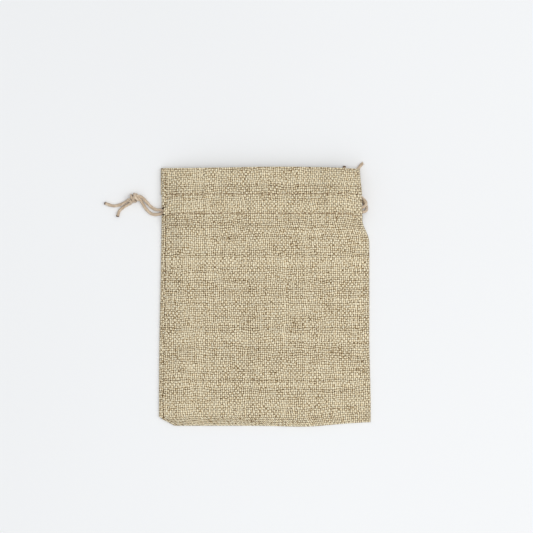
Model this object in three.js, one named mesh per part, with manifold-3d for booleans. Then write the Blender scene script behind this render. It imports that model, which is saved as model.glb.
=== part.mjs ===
import * as THREE from 'three';
import { mergeVertices } from 'three/addons/utils/BufferGeometryUtils.js';
import Module from 'manifold-3d';

// A drawstring gift pouch lying on its back: +X to its right, +Y to its mouth and +Z up, in millimetres.
// The origin is under the middle of the cloth, on the surface that the pouch lies on.
// Two woven panels are sewn together down both sides and along the bottom. Their tops are folded in as
// facings, and two rows of stitches make a casing in each. Two cords run round the casing from opposite
// sides, and the two ends of each are knotted together outside its own side opening.

// Cloth
const LAYER = 0.5;
const HALF_WIDTH = 51.25;
const HALF_LENGTH = 63;
const LEFT_SIDE = { flare: 0.7, draw: 1.3, from: -50, to: 50 };
const RIGHT_SIDE = { flare: 0.45, draw: 0.65, from: -55, to: -20 };
const NECK = { inset: 3.45, from: 26, to: 38.5 };
const MOUTH_SIDE = { inset: 1.7, from: 40, to: 64 };
const CORNER_CUT = { across: 7.7, up: 4.1 };
const BOTTOM = { rise: 1.75, from: 20, to: 54, drop: 0.35, sag: 0.45, at: 17, reach: 12, fades: -30 };
const MOUTH = { arch: 0.6, at: 8, reach: 30, drop: 0.35, corner: 0.5, from: 28, to: 46 };

// Casing and facing, as heights above the middle of the pouch
const CASING_LOW = 40.4;
const CASING_HIGH = 49.8;
const FACING_END = 38.4;
const CHANNEL = 1.9;
const SIDE_OPENING = 9.6;
const OPENING_DIP = { depth: 1.2, reach: 9, from: 30, full: 40, holds: 44, to: 52 };

// Height of the empty pouch: at its sewn edges, and in the middle where it stays a little open
const EDGE_HEIGHT = 1.6;
const CASING_EDGE_HEIGHT = 3;
const BODY_HEIGHT = 6.2;
const CASING_HEIGHT = 10.1;
const MOUTH_HEIGHT = 7;
const EDGE_SWELL_FROM = 33;
const CASING_SWELL_FROM = 16;
const SIDE_ROUNDING = { reach: 30, power: 2.5 };
const BOTTOM_ROUNDING = { reach: 34, power: 2.2 };

// Cords, and the knot of the right one, which lies under the corner of the header and lifts it
const CORD = 1.5;
const KNOT = { across: 5.2, along: 4.8, high: 4.7 };
const LEFT_KNOT = new THREE.Vector3(-64.1, 48.1, 2.4);
const RIGHT_KNOT = new THREE.Vector3(41.8, 52.5, 2.5);
const LIFT = { height: 5.6, flat: 3, reach: 22 };
const LEFT_CORD_Y = 42.4;
const RIGHT_CORD_Y = 44.8;
const HELD_STATIONS = 12;

// Thread
const STITCH = { width: 0.5, high: 0.25, clear: 0.1, inside: 0.4 };
const SEAM = { from: 0.3, to: 3.3, low: 0.62, high: 0.9, headerLow: 1.25, headerHigh: 1.65 };

// Rows and columns of the bent boxes
const PANEL_COLUMNS = 18;
const EDGE_CROWDING = 0.1;
const BODY_ROWS = [-HALF_LENGTH, -61.2, -58.9, -54, -46, -36, -22, -6, 10, 20, 26, 30, 34];
const CASING_ROWS = [43, 45, 47];
const HEADER_ROWS = [53, 57, 60.5, HALF_LENGTH];

const LINEN = new THREE.MeshStandardMaterial({ color: 0xc1b396, roughness: 0.95, metalness: 0 });
const LINEN_BACK = new THREE.MeshStandardMaterial({ color: 0xb9aa8c, roughness: 0.95, metalness: 0 });
const THREAD = new THREE.MeshStandardMaterial({ color: 0xb39d7c, roughness: 0.8, metalness: 0 });
const SATIN = new THREE.MeshStandardMaterial({ color: 0xc8af9b, roughness: 0.55, metalness: 0 });

const { lerp, smoothstep } = THREE.MathUtils;
const wasm = await Module();
wasm.setup();

// Outline

function sideLine(side, y) {
  // How far a side stands out from its nominal line: it flares at the bottom and draws in above.
  return side.flare - side.draw * smoothstep(y, side.from, side.to);
}

function leftEdge(y) {
  const aboveCorner = Math.min((y + HALF_LENGTH) / CORNER_CUT.up, 1);
  return -HALF_WIDTH - sideLine(LEFT_SIDE, y) + CORNER_CUT.across * (1 - aboveCorner);
}

function rightEdge(y) {
  const side = HALF_WIDTH + sideLine(RIGHT_SIDE, y);
  return side - NECK.inset * smoothstep(y, NECK.from, NECK.to)
    - MOUTH_SIDE.inset * smoothstep(y, MOUTH_SIDE.from, MOUTH_SIDE.to);
}

function fromSide(x, y) {
  return Math.min(x - leftEdge(y), rightEdge(y) - x);
}

function swell(x, { at, reach }) {
  return Math.exp(-(((x - at) / reach) ** 2));
}

function shiftUp(x, y) {
  const bottomLine = BOTTOM.rise * smoothstep(x, BOTTOM.from, BOTTOM.to) - BOTTOM.drop;
  const atBottom = 1 - smoothstep(y, -HALF_LENGTH, BOTTOM.fades);
  const bottom = (bottomLine - BOTTOM.sag * swell(x, BOTTOM)) * atBottom;
  const corner = MOUTH.corner * smoothstep(x, MOUTH.from, MOUTH.to);
  const mouthLine = MOUTH.arch * swell(x, MOUTH) - MOUTH.drop - corner;
  const mouth = mouthLine * smoothstep(y, CASING_HIGH, HALF_LENGTH);
  const { depth, reach, from, full, holds, to } = OPENING_DIP;
  const atOpening = smoothstep(y, from, full) * (1 - smoothstep(y, holds, to));
  const opening = depth * (1 - smoothstep(fromSide(x, y), 0, reach)) * atOpening;
  return bottom + mouth - opening;
}

// Heights

function lift(x, y) {
  const fromKnot = Math.hypot(x - RIGHT_KNOT.x, y - RIGHT_KNOT.y);
  return LIFT.height * (1 - smoothstep(fromKnot, LIFT.flat, LIFT.reach));
}

function rounded(distance, { reach, power }) {
  return 1 - (1 - Math.min(distance / reach, 1)) ** power;
}

function fullness(x, y) {
  return rounded(fromSide(x, y), SIDE_ROUNDING) * rounded(y + HALF_LENGTH, BOTTOM_ROUNDING);
}

function frontLevel(x, y) {
  const edge = lerp(EDGE_HEIGHT, CASING_EDGE_HEIGHT, smoothstep(y, EDGE_SWELL_FROM, CASING_LOW));
  const casing = lerp(BODY_HEIGHT, CASING_HEIGHT, smoothstep(y, CASING_SWELL_FROM, CASING_LOW));
  const middle = lerp(casing, MOUTH_HEIGHT, smoothstep(y, CASING_HIGH, HALF_LENGTH));
  return lift(x, y) + edge + (middle - edge) * fullness(x, y);
}

// A layer of cloth or thread is a box bent to the pouch. Each of its rows is [y, low, high], where low and
// high are offsets from a level such as the front face, and toX places a share of the way across a row.

function bentBox(rows, columns, toX, level) {
  const last = rows.length - 1;
  const geometry = new THREE.BoxGeometry(1, 1, 1, columns, last, 1);
  const at = geometry.attributes.position;
  for (let i = 0; i < at.count; i++) {
    const [y, low, high] = rows[Math.round((at.getY(i) + 0.5) * last)];
    const x = toX(at.getX(i) + 0.5, y);
    at.setXYZ(i, x, y + shiftUp(x, y), level(x, y) + (at.getZ(i) > 0 ? high : low));
  }
  return geometry;
}

function acrossPanel(share, y) {
  const crowded = share - EDGE_CROWDING * Math.sin(2 * Math.PI * share);
  return lerp(leftEdge(y), rightEdge(y), crowded);
}

function pastBothEdges(share, y) {
  return acrossPanel(share, y) + 2 * share - 1;
}

function fromLeft(near, far) {
  return (share, y) => leftEdge(y) + lerp(near, far, share);
}

function fromRight(near, far) {
  return (share, y) => rightEdge(y) - lerp(far, near, share);
}

function evenRows(low, high) {
  return (y) => [y, low, high];
}

function turnedOver(rows) {
  return rows.map(([y, low, high]) => [y, -high, -low]);
}

// Booleans

function toSolid(geometry) {
  const bare = new THREE.BufferGeometry().setAttribute('position', geometry.getAttribute('position'));
  if (geometry.index) bare.setIndex(geometry.index);
  const merged = mergeVertices(bare);
  return new wasm.Manifold(new wasm.Mesh({
    numProp: 3,
    vertProperties: new Float32Array(merged.attributes.position.array),
    triVerts: new Uint32Array(merged.index.array),
  }));
}

function cutAway(geometry, cutters) {
  const solid = cutters.reduce((left, cutter) => left.subtract(toSolid(cutter)), toSolid(geometry));
  const mesh = solid.getMesh();
  const result = new THREE.BufferGeometry();
  result.setAttribute('position', new THREE.BufferAttribute(new Float32Array(mesh.vertProperties), 3));
  result.setIndex(new THREE.BufferAttribute(new Uint32Array(mesh.triVerts), 1));
  return result;
}

// Sub-parts

function panelRows() {
  const facing = 2 * LAYER;
  const full = facing + CHANNEL;
  return [
    ...BODY_ROWS.map(evenRows(0, LAYER)), [FACING_END - 0.2, 0, LAYER], [FACING_END + 0.2, 0, facing],
    [CASING_LOW, 0, facing], [CASING_LOW + 0.8, 0, full], ...CASING_ROWS.map(evenRows(0, full)),
    [CASING_HIGH - 0.8, 0, full], [CASING_HIGH, 0, facing], ...HEADER_ROWS.map(evenRows(0, facing)),
  ];
}

function channelRows() {
  const full = LAYER + CHANNEL;
  return [
    [CASING_LOW + 0.5, LAYER, LAYER + 0.1], [CASING_LOW + 1.2, LAYER, full],
    ...CASING_ROWS.map(evenRows(LAYER, full)),
    [CASING_HIGH - 1.2, LAYER, full], [CASING_HIGH - 0.5, LAYER, LAYER + 0.1],
  ];
}

function openingRows() {
  const rows = [CASING_LOW + 0.1, ...CASING_ROWS, CASING_HIGH - 0.1];
  return rows.map(evenRows(2 * LAYER + 0.1, 2 * LAYER + CHANNEL + 0.6));
}

function panel(level, facesUp) {
  // The outer layer, its folded-in facing, the channel between them and the opening at each end of it
  const side = facesUp ? turnedOver : (rows) => rows;
  const body = bentBox(side(panelRows()), PANEL_COLUMNS, acrossPanel, level);
  const channel = bentBox(side(channelRows()), PANEL_COLUMNS, pastBothEdges, level);
  const openings = [fromLeft(-1, SIDE_OPENING), fromRight(-1, SIDE_OPENING)]
    .map((toX) => bentBox(side(openingRows()), 4, toX, level));
  return cutAway(body, [channel, ...openings]);
}

function stitchRow(row, level, offset) {
  const low = offset + STITCH.clear;
  const rows = [row - STITCH.width / 2, row + STITCH.width / 2].map(evenRows(low, low + STITCH.high));
  return bentBox(rows, PANEL_COLUMNS, acrossPanel, level);
}

function seam(rows, toX, low, high) {
  return bentBox(rows.map(evenRows(low, high)), 2, toX, lift);
}

function tube(points) {
  // Two steps between each pair of points, so that the steps crowd where the points do.
  class Route extends THREE.CatmullRomCurve3 {
    getUtoTmapping(share) {
      return share;
    }
  }
  const route = new Route(points.map((p) => new THREE.Vector3(...p)));
  const ring = Array.from({ length: 8 }, (_, i) => (i + 0.5) * Math.PI / 4)
    .map((angle) => new THREE.Vector2(Math.cos(angle), Math.sin(angle)).multiplyScalar(CORD / 2));
  const steps = 2 * (points.length - 1);
  return new THREE.ExtrudeGeometry(new THREE.Shape(ring), { extrudePath: route, steps });
}

function knot() {
  const geometry = new THREE.SphereGeometry(0.5, 14, 10);
  return geometry.scale(KNOT.across, KNOT.along, KNOT.high);
}

// Cord routes. A held cord follows its casing, and its free ends are points in order from the knot.

function held(y, where) {
  const first = leftEdge(y) + SIDE_OPENING;
  const last = rightEdge(y) - SIDE_OPENING;
  const middle = LAYER + CHANNEL / 2;
  return Array.from({ length: HELD_STATIONS }, (_, i) => lerp(first, last, i / (HELD_STATIONS - 1)))
    .map((x) => [x, y, where === 'front' ? frontLevel(x, y) - middle : lift(x, y) + middle]);
}

function turnBack(y, side) {
  // The far end of a cord, which turns from the front casing to the back one inside the other opening
  const turn = [[7.8, 5.1], [6.1, 4.2], [4.9, 3.1], [4.8, 2.2], [6, 1.5]];
  return turn.map(([inward, z]) => {
    const x = side < 0 ? leftEdge(y) + inward : rightEdge(y) - inward;
    return [x, y, z + lift(x, y)];
  });
}

function insideOpening(points) {
  // Heights of these points are counted from the underside of the pouch, which the right knot lifts.
  return points.map(([x, y, z]) => [x, y, z + lift(x, y - shiftUp(x, y))]);
}

const LEFT_FRONT_STRAND = [
  [-60.9, 48.8, 2.1], [-59.6, 47.9, 1.4], [-57.6, 45.7, 0.8], [-55.4, 43.5, 0.8], [-53.2, 42.4, 1.1],
];
const LEFT_FRONT_INSIDE = [
  [-51.3, 42.7, 1.5], [-50.1, 43, 1.9], [-48.2, 43, 2.6], [-46, 42.7, 3.6], [-43.8, 42.5, 4.7],
];
const LEFT_BACK_INSIDE = [[-45.5, 42.2, 1.45], [-48.6, 41.5, 1.45], [-51.3, 41, 1.45]];
const LEFT_BACK_STRAND = [
  [-53.6, 40, 1], [-55.8, 40.5, 0.8], [-58.1, 42.6, 0.8], [-59.7, 45, 1], [-60.8, 46.8, 1.6],
];
const LEFT_LONG_TAIL = [
  [-66.9, 47, 1.6], [-68.6, 46, 0.9], [-71.1, 44.8, 0.8], [-74.4, 44.3, 0.8], [-78.7, 45.7, 0.8],
];
const LEFT_SHORT_TAIL = [
  [-65.9, 45.6, 1.3], [-67.6, 44.6, 0.8], [-69.6, 43.4, 0.8], [-71.4, 41.6, 0.8], [-72.3, 38.9, 0.8],
];
const RIGHT_FRONT_STRAND = [
  [45, 50.1, 3], [46.6, 48.9, 3.2], [48.1, 47.4, 3.6], [49.2, 45.9, 4.4], [48.9, 44.5, 5.2],
];
const RIGHT_FRONT_INSIDE = [
  [47.3, 44.2, 1.4], [45.6, 44.6, 2.1], [43.6, 44.8, 3.2], [41.6, 44.8, 4.3], [39.4, 44.8, 5.2],
];
const RIGHT_BACK_INSIDE = [
  [39.4, 44.8, 1.45], [41.4, 44.8, 1.45], [43, 44.5, 1.45], [44.6, 43.9, 1.45], [46.1, 42.9, 1.45],
  [47.5, 42.1, 1.45],
];
const RIGHT_BACK_STRAND = [
  [48.9, 41.5, 4.1], [49.5, 42.3, 3], [49.6, 43.7, 2], [49, 45.1, 1.2], [47.7, 47, 0.9], [45.4, 49.1, 1.3],
];
const RIGHT_LONG_TAIL = [
  [42.6, 55.5, 2], [43.2, 57.4, 1.2], [44.3, 60.2, 0.8], [45.9, 62.9, 0.8], [47.6, 65, 0.8],
];
const RIGHT_SHORT_TAIL = [
  [40.4, 55.2, 1.6], [39.4, 57, 0.9], [38.8, 60, 0.8], [38.8, 63.9, 0.8],
];

// Assembly

function add(group, name, geometry, material, at) {
  const mesh = new THREE.Mesh(geometry, material);
  mesh.name = name;
  if (at) mesh.position.copy(at);
  group.add(mesh);
}

function cloth() {
  const group = new THREE.Group();
  add(group, 'front_panel', panel(frontLevel, true), LINEN);
  add(group, 'back_panel', panel(lift, false), LINEN_BACK);
  return group;
}

function stitching() {
  const group = new THREE.Group();
  for (const [name, row, away] of [['lower', CASING_LOW, -1], ['upper', CASING_HIGH, 1]]) {
    const insideRow = row + away * STITCH.inside;
    add(group, `front_${name}_stitching`, stitchRow(row, frontLevel, 0), THREAD);
    add(group, `back_${name}_stitching`, stitchRow(insideRow, lift, 2 * LAYER), THREAD);
  }
  return group;
}

function seams() {
  const group = new THREE.Group();
  const { from, to, low, high, headerLow, headerHigh } = SEAM;
  const bodyRows = [-62.4, ...BODY_ROWS.slice(1), FACING_END - 0.6];
  const headerRows = [CASING_HIGH + 0.9, ...HEADER_ROWS.slice(0, -1), 62.6];
  const bottomRows = [-62.7, -61.2, -59.7];
  for (const [name, toX] of [['left', fromLeft(from, to)], ['right', fromRight(from, to)]]) {
    add(group, `${name}_side_seam`, seam(bodyRows, toX, low, high), THREAD);
    add(group, `${name}_header_seam`, seam(headerRows, toX, headerLow, headerHigh), THREAD);
  }
  const alongBottom = (share, y) => lerp(leftEdge(y) + to + 0.4, rightEdge(y) - to - 0.4, share);
  const bottom = bentBox(bottomRows.map(evenRows(low, high)), PANEL_COLUMNS, alongBottom, lift);
  add(group, 'bottom_seam', bottom, THREAD);
  return group;
}

function leftDrawstring() {
  const group = new THREE.Group();
  const route = [
    ...LEFT_FRONT_STRAND, ...insideOpening(LEFT_FRONT_INSIDE),
    ...held(LEFT_CORD_Y, 'front'), ...turnBack(LEFT_CORD_Y, 1), ...held(LEFT_CORD_Y, 'back').reverse(),
    ...insideOpening(LEFT_BACK_INSIDE), ...LEFT_BACK_STRAND,
  ];
  add(group, 'left_cord', tube(route), SATIN);
  add(group, 'left_cord_knot', knot(), SATIN, LEFT_KNOT);
  add(group, 'left_cord_long_tail', tube(LEFT_LONG_TAIL), SATIN);
  add(group, 'left_cord_short_tail', tube(LEFT_SHORT_TAIL), SATIN);
  return group;
}

function rightDrawstring() {
  const group = new THREE.Group();
  const route = [
    ...RIGHT_FRONT_STRAND, ...insideOpening(RIGHT_FRONT_INSIDE),
    ...held(RIGHT_CORD_Y, 'front').reverse(), ...turnBack(RIGHT_CORD_Y, -1), ...held(RIGHT_CORD_Y, 'back'),
    ...insideOpening(RIGHT_BACK_INSIDE), ...RIGHT_BACK_STRAND,
  ];
  add(group, 'right_cord', tube(route), SATIN);
  add(group, 'right_cord_knot', knot(), SATIN, RIGHT_KNOT);
  add(group, 'right_cord_long_tail', tube(RIGHT_LONG_TAIL), SATIN);
  add(group, 'right_cord_short_tail', tube(RIGHT_SHORT_TAIL), SATIN);
  return group;
}

const pouch = new THREE.Group();
pouch.add(cloth(), stitching(), seams(), leftDrawstring(), rightDrawstring());

export default pouch;
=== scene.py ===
import math

import bpy
import numpy as np
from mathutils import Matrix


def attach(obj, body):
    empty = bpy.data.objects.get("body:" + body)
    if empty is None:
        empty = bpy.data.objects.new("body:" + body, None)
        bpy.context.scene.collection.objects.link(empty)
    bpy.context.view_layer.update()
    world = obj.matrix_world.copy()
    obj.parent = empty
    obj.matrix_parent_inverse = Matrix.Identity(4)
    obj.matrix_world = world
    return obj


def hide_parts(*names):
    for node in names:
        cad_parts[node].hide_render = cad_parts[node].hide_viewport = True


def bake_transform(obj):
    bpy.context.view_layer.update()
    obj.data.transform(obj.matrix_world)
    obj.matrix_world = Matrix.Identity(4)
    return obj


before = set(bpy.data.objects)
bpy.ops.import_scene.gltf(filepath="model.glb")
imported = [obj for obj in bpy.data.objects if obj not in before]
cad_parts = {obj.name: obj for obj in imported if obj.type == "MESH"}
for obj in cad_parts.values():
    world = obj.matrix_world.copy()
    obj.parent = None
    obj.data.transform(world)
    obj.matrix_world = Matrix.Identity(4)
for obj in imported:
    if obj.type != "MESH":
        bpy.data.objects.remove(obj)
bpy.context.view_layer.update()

# Shapes are in millimetres in the CAD's frame, and become metres when a mesh is made. The camera and the
# lights are in metres.
MM = 0.001

# Shape of the cloth, as in part.mjs
HALF_WIDTH = 51.25
HALF_LENGTH = 63.0
LEFT_FLARE, LEFT_DRAW = 0.7, 1.3
RIGHT_FLARE, RIGHT_DRAW = 0.45, 0.65
NECK_INSET = 3.45
MOUTH_INSET = 1.7
CORNER_ACROSS, CORNER_UP = 7.7, 4.1
BOTTOM_RISE, BOTTOM_DROP, BOTTOM_SAG = 1.75, 0.35, 0.45
MOUTH_ARCH, MOUTH_DROP, MOUTH_CORNER = 0.6, 0.35, 0.5
CASING_LOW = 40.4
CASING_HIGH = 49.8
FACING_END = 38.4
CHANNEL = 1.9
SIDE_OPENING_DIP = 1.2
EDGE_HEIGHT = 1.6
CASING_EDGE_HEIGHT = 3.0
BODY_HEIGHT = 6.2
CASING_HEIGHT = 10.1
MOUTH_HEIGHT = 7.0
SIDE_ROUNDING, SIDE_POWER = 30.0, 2.5
BOTTOM_ROUNDING, BOTTOM_POWER = 34.0, 2.2
LIFT_HEIGHT, LIFT_FLAT, LIFT_REACH = 5.6, 3.0, 22.0
CORD = 1.5
LEFT_KNOT = (-64.1, 48.1, 2.4)
RIGHT_KNOT = (41.8, 52.5, 2.5)
LEFT_CORD_Y = 42.4
RIGHT_CORD_Y = 44.8

# Cloth as sewn: its thickness, its turned edges and the seams that run beside them
CLOTH = 0.45
EDGE_ROUND = 1.2
EDGE_ARC = 1.9
BOTTOM_ROUND = 1.0
BOTTOM_ARC = 1.6
SEAM_IN = 2.9
FOLD = 0.5


def smooth(value, low, high):
    share = np.clip((value - low) / (high - low), 0.0, 1.0)
    return share * share * (3 - 2 * share)


def ridge(value, middle, width):
    return np.exp(-(((value - middle) / width) ** 2))


def left_edge(y):
    up = np.clip((y + HALF_LENGTH) / CORNER_UP, 0.0, 1.0)
    return -HALF_WIDTH - LEFT_FLARE + LEFT_DRAW * smooth(y, -50, 50) + CORNER_ACROSS * (1 - up)


def right_edge(y):
    side = HALF_WIDTH + RIGHT_FLARE - RIGHT_DRAW * smooth(y, -55, -20)
    return side - NECK_INSET * smooth(y, 26, 38.5) - MOUTH_INSET * smooth(y, 40, 64)


def from_side(x, y):
    """Distance in from the nearer side edge."""
    return np.maximum(np.minimum(x - left_edge(y), right_edge(y) - x), 0.0)


def shift_up(x, y):
    """How far the cloth is moved along Y: the bottom and mouth wave, and the side openings are drawn down."""
    bottom = BOTTOM_RISE * smooth(x, 20, 54) - BOTTOM_DROP - BOTTOM_SAG * ridge(x, 17, 12)
    mouth = MOUTH_ARCH * ridge(x, 8, 30) - MOUTH_DROP - MOUTH_CORNER * smooth(x, 28, 46)
    near = (1 - smooth(from_side(x, y), 0, 9)) * smooth(y, 30, 40) * (1 - smooth(y, 44, 52))
    at_bottom = 1 - smooth(y, -HALF_LENGTH, -30)
    at_mouth = smooth(y, CASING_HIGH, HALF_LENGTH)
    return bottom * at_bottom + mouth * at_mouth - SIDE_OPENING_DIP * near


def lift(x, y):
    """How far the right knot holds the cloth up off the table."""
    away = np.hypot(x - RIGHT_KNOT[0], y - RIGHT_KNOT[1])
    return LIFT_HEIGHT * (1 - smooth(away, LIFT_FLAT, LIFT_REACH))


def edge_height(y):
    return EDGE_HEIGHT + (CASING_EDGE_HEIGHT - EDGE_HEIGHT) * smooth(y, 33, CASING_LOW)


def front_level(x, y):
    """Height of the front panel's outer face, without its relief."""
    side = 1 - (1 - np.minimum(from_side(x, y) / SIDE_ROUNDING, 1)) ** SIDE_POWER
    bottom = 1 - (1 - np.clip((y + HALF_LENGTH) / BOTTOM_ROUNDING, 0, 1)) ** BOTTOM_POWER
    casing = BODY_HEIGHT + (CASING_HEIGHT - BODY_HEIGHT) * smooth(y, 16, CASING_LOW)
    middle = casing + (MOUTH_HEIGHT - casing) * smooth(y, CASING_HIGH, HALF_LENGTH)
    return lift(x, y) + edge_height(y) + (middle - edge_height(y)) * side * bottom


# ---------------------------------------------------------------- camera, light and floor

VIEW_WIDTH = 0.2601
CAMERA_HEIGHT = 1.3


def add_camera():
    data = bpy.data.cameras.new("camera")
    data.sensor_width = 36
    data.lens = 36 * (CAMERA_HEIGHT - 0.005) / VIEW_WIDTH
    camera = bpy.data.objects.new("camera", data)
    camera.location = (0.0007, 0.0146, CAMERA_HEIGHT)
    bpy.context.collection.objects.link(camera)
    bpy.context.scene.camera = camera


def add_light(name, location, target, size, power, colour):
    data = bpy.data.lights.new(name, "AREA")
    data.shape = "DISK"
    data.size = size
    data.energy = power
    data.color = colour
    light = bpy.data.objects.new(name, data)
    light.location = location
    aim = np.array(target) - np.array(location)
    light.rotation_euler = (
        math.atan2(math.hypot(aim[0], aim[1]), -aim[2]),
        0,
        math.atan2(aim[1], aim[0]) - math.pi / 2,
    )
    bpy.context.collection.objects.link(light)


def add_world(strength, colour):
    world = bpy.data.worlds.new("studio")
    world.use_nodes = True
    background = world.node_tree.nodes["Background"]
    background.inputs["Color"].default_value = (*colour, 1)
    background.inputs["Strength"].default_value = strength
    bpy.context.scene.world = world


add_camera()


# ---------------------------------------------------------------- materials


UV_UNIT = 100.0


def linear(red, green, blue):
    """A screen colour, 0 to 255, as the shader wants it."""
    return tuple(
        c / 12.92 if c <= 0.04045 else ((c + 0.055) / 1.055) ** 2.4
        for c in (red / 255, green / 255, blue / 255)
    ) + (1.0,)


class Graph:
    """A material's nodes, written as sums."""

    def __init__(self, name):
        self.material = bpy.data.materials.new(name)
        self.material.use_nodes = True
        self.nodes = self.material.node_tree.nodes
        self.links = self.material.node_tree.links
        self.nodes.clear()
        self.shader = self.nodes.new("ShaderNodeBsdfPrincipled")
        output = self.nodes.new("ShaderNodeOutputMaterial")
        self.links.new(self.shader.outputs[0], output.inputs[0])

    def put(self, socket, value):
        if isinstance(value, bpy.types.NodeSocket):
            self.links.new(value, socket)
        else:
            socket.default_value = value

    def math(self, operation, a, b=0.0, c=0.0):
        node = self.nodes.new("ShaderNodeMath")
        node.operation = operation
        for socket, value in zip(node.inputs, (a, b, c)):
            self.put(socket, value)
        return node.outputs[0]

    def add(self, a, b):
        return self.math("ADD", a, b)

    def sub(self, a, b):
        return self.math("SUBTRACT", a, b)

    def mul(self, a, b):
        return self.math("MULTIPLY", a, b)

    def madd(self, a, b, c):
        return self.math("MULTIPLY_ADD", a, b, c)

    def between(self, share, a, b):
        return self.add(a, self.mul(share, self.sub(b, a)))

    def vector(self, x, y, z=0.0):
        node = self.nodes.new("ShaderNodeCombineXYZ")
        for socket, value in zip(node.inputs, (x, y, z)):
            self.put(socket, value)
        return node.outputs[0]

    def noise(self, vector, scale=1.0, detail=0.0):
        node = self.nodes.new("ShaderNodeTexNoise")
        node.noise_dimensions = "3D"
        self.put(node.inputs["Vector"], vector)
        node.inputs["Scale"].default_value = scale
        node.inputs["Detail"].default_value = detail
        return node.outputs[0]

    def random(self, vector):
        node = self.nodes.new("ShaderNodeTexWhiteNoise")
        node.noise_dimensions = "3D"
        self.put(node.inputs["Vector"], vector)
        return node.outputs[0]

    def attribute(self, name):
        node = self.nodes.new("ShaderNodeAttribute")
        node.attribute_name = name
        return node.outputs["Fac"]

    def rest(self):
        """Where this point was on the flat piece, in millimetres: its uv is stored in units of 100 mm."""
        node = self.nodes.new("ShaderNodeUVMap")
        node.uv_map = "rest"
        split = self.nodes.new("ShaderNodeSeparateXYZ")
        self.links.new(node.outputs[0], split.inputs[0])
        return self.mul(split.outputs[0], UV_UNIT), self.mul(split.outputs[1], UV_UNIT)

    def ramp(self, value, stops):
        node = self.nodes.new("ShaderNodeValToRGB")
        self.put(node.inputs[0], value)
        elements = node.color_ramp.elements
        while len(elements) < len(stops):
            elements.new(0.5)
        for element, (position, colour) in zip(elements, stops):
            element.position = position
            element.color = colour
        return node.outputs[0]

    def mix(self, factor, a, b, kind="MIX"):
        node = self.nodes.new("ShaderNodeMix")
        node.data_type = "RGBA"
        node.blend_type = kind
        self.put(node.inputs[0], factor)
        self.put(node.inputs[6], a)
        self.put(node.inputs[7], b)
        return node.outputs[2]

    def bump(self, height, distance, strength=1.0):
        node = self.nodes.new("ShaderNodeBump")
        node.inputs["Strength"].default_value = strength
        node.inputs["Distance"].default_value = distance
        self.put(node.inputs["Height"], height)
        return node.outputs[0]

    def finish(self, colour, roughness, normal, **constants):
        self.put(self.shader.inputs["Base Color"], colour)
        self.put(self.shader.inputs["Roughness"], roughness)
        self.links.new(normal, self.shader.inputs["Normal"])
        for name, value in constants.items():
            self.shader.inputs[name.replace("_", " ")].default_value = value
        return self.material


YARN_ACROSS = 0.95
YARN_UP = 1.11
WANDER = 1.6
WOBBLE = 0.3


def bent(g, x, y, layer):
    """x moved to and fro by a slow wander and a quick wobble, as no yarn runs straight."""
    here = g.vector(x, y, layer)
    return g.add(g.madd(g.noise(here, 0.16), WANDER, x), g.mul(g.noise(here, 0.9), WOBBLE))


def yarn_tones(g, x, y, i, j, warp_draw, weft_draw):
    """Tones of warp yarn i and weft yarn j: a draw for the yarn, slow slubs along it and quick unevenness."""
    i_key = g.mul(i, 7.31)
    j_key = g.mul(j, 5.77)
    warp = g.madd(g.noise(g.vector(i_key, g.mul(y, 0.12), 3.0)), 0.8, g.madd(warp_draw, 0.1, 0.48))
    warp = g.madd(g.noise(g.vector(i_key, g.mul(y, 0.8), 9.0)), 0.3, warp)
    weft = g.madd(g.noise(g.vector(g.mul(x, 0.1), j_key, 5.0)), 1.0, g.madd(weft_draw, 0.2, 0.35))
    weft = g.madd(g.noise(g.vector(g.mul(x, 0.8), j_key, 11.0)), 0.3, weft)
    return warp, weft


def yarn_height(g, side, along, wide):
    """Height of the yarn on top, 0 to 1: round across its width, highest in the middle of each crossing."""
    share = g.math("DIVIDE", side, wide)
    dome = g.math("SQRT", g.math("MAXIMUM", g.sub(1.0, g.mul(share, share)), 0.0))
    return g.mul(dome, g.madd(g.math("COSINE", g.mul(along, math.pi)), 0.6, 0.4))


def linen_colour(g, x, y, light):
    colour = g.ramp(light, [
        (0.0, linear(64, 38, 8)),
        (0.22, linear(128, 102, 60)),
        (0.45, linear(186, 166, 131)),
        (0.72, linear(234, 217, 187)),
        (1.0, linear(255, 249, 228)),
    ])
    hue = g.noise(g.vector(g.mul(x, 0.9), g.mul(y, 0.9), 60.0), 1.0, 2.0)
    tint = g.mix(g.madd(hue, 2.4, -0.7), (0.932, 0.919, 0.865, 1.0), (0.966, 0.872, 0.716, 1.0))
    return g.mix(1.0, colour, tint, "MULTIPLY")


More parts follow.
